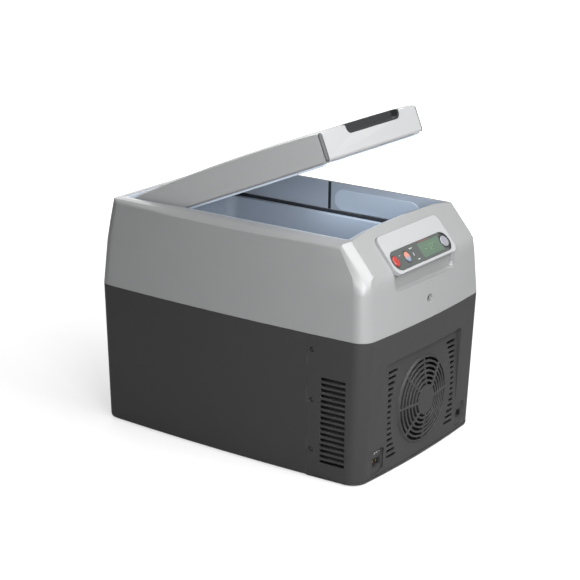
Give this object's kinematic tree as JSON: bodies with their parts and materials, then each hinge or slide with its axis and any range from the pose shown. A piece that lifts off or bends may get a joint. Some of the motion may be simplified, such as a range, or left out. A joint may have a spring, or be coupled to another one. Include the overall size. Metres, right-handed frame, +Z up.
{
  "type": "portable cool box",
  "caption": "Portable cool box with a two-tone case, a hinged inset lid, a sloped control panel and a ventilated fan compartment at one end.",
  "frame": {"origin": "centre of the footprint at floor level", "axes": "+X along the length towards the control panel and fan end, +Y across the width, +Z up; the lid hinges at the -X end and stands 22.8 degrees open at rest"},
  "size_m": [0.45, 0.303, 0.4473],
  "materials": {
    "graphite": "fine matte texture",
    "silver": "satin metallic paint look",
    "pale": "satin",
    "white": "smooth",
    "foam": "rigid cellular foam",
    "rubber": "matte",
    "grip": "soft matte",
    "smoke": "glossy smoked",
    "digits": "backlit",
    "board": "lacquered board",
    "power": "glossy translucent red",
    "mode": "glossy translucent",
    "set": "glossy",
    "steel": "dark plated",
    "aluminium": "extruded",
    "brass": "plain",
    "ceramic": "ceramic",
    "black": "matte",
    "lens": "milky diffuser"
  },
  "bodies": {
    "case": {"lower_case": "graphite", "foot_1": "rubber", "foot_2": "rubber", "foot_3": "rubber", "foot_4": "rubber", "technical_cover": "graphite", "base_plate": "silver", "cover_screw_1": "steel", "cover_screw_2": "steel", "cover_screw_3": "steel", "cover_screw_4": "steel", "cover_screw_5": "steel", "cover_screw_6": "steel", "dc_socket": "black", "ac_socket": "black", "dc_pin_1": "brass", "dc_pin_2": "brass", "ac_pin_1": "brass", "ac_pin_2": "brass", "upper_shell": "silver", "shell_screw": "steel", "inner_liner": "white", "ledge_seal": "rubber", "case_foam": "foam", "lamp_lens": "lens", "lamp_board": "board", "control_pod": "pale", "display_window": "smoke", "digit_display": "digits", "control_board": "board", "hot_heatsink": "aluminium", "peltier_module": "ceramic", "cold_block": "aluminium", "cold_heatsink": "aluminium", "outer_fan_frame": "black", "inner_fan_frame": "black", "inner_fan_cover": "white", "power_board": "board", "hinge_pin_near": "steel", "hinge_pin_far": "steel"},
    "lid": {"lid_shell": "pale", "corner_strip_far": "rubber", "corner_strip_near": "rubber", "grip_insert": "grip", "lid_liner": "white", "lid_gasket": "rubber", "lid_foam": "foam"},
    "power_key": {"power_button": "power"},
    "mode_key": {"mode_button": "mode"},
    "set_key": {"set_button": "set"},
    "outer_fan": {"outer_fan_rotor": "black"},
    "inner_fan": {"inner_fan_rotor": "black"}
  },
  "joints": [
    {"name": "lid_hinge", "type": "hinge", "parent": "case", "child": "lid", "pos_m": [-0.182, 0, 0.308], "axis": [0, -1, 0], "range_deg": [-22.8, 60]},
    {"name": "power_press", "type": "slide", "parent": "case", "child": "power_key", "axis": [-0.7587, 0, -0.6515], "range_m": [0, 0.0008], "stiffness_N_per_m": 600},
    {"name": "mode_press", "type": "slide", "parent": "case", "child": "mode_key", "axis": [-0.7587, 0, -0.6515], "range_m": [0, 0.0008], "stiffness_N_per_m": 600},
    {"name": "set_press", "type": "slide", "parent": "case", "child": "set_key", "axis": [-0.7587, 0, -0.6515], "range_m": [0, 0.0008], "stiffness_N_per_m": 600},
    {"name": "outer_fan_spin", "type": "hinge", "parent": "case", "child": "outer_fan", "pos_m": [0.1975, 0, 0.0816], "axis": [1, 0, 0], "continuous": true},
    {"name": "inner_fan_spin", "type": "hinge", "parent": "case", "child": "inner_fan", "pos_m": [0.072, 0, 0.089], "axis": [1, 0, 0], "continuous": true}
  ]
}
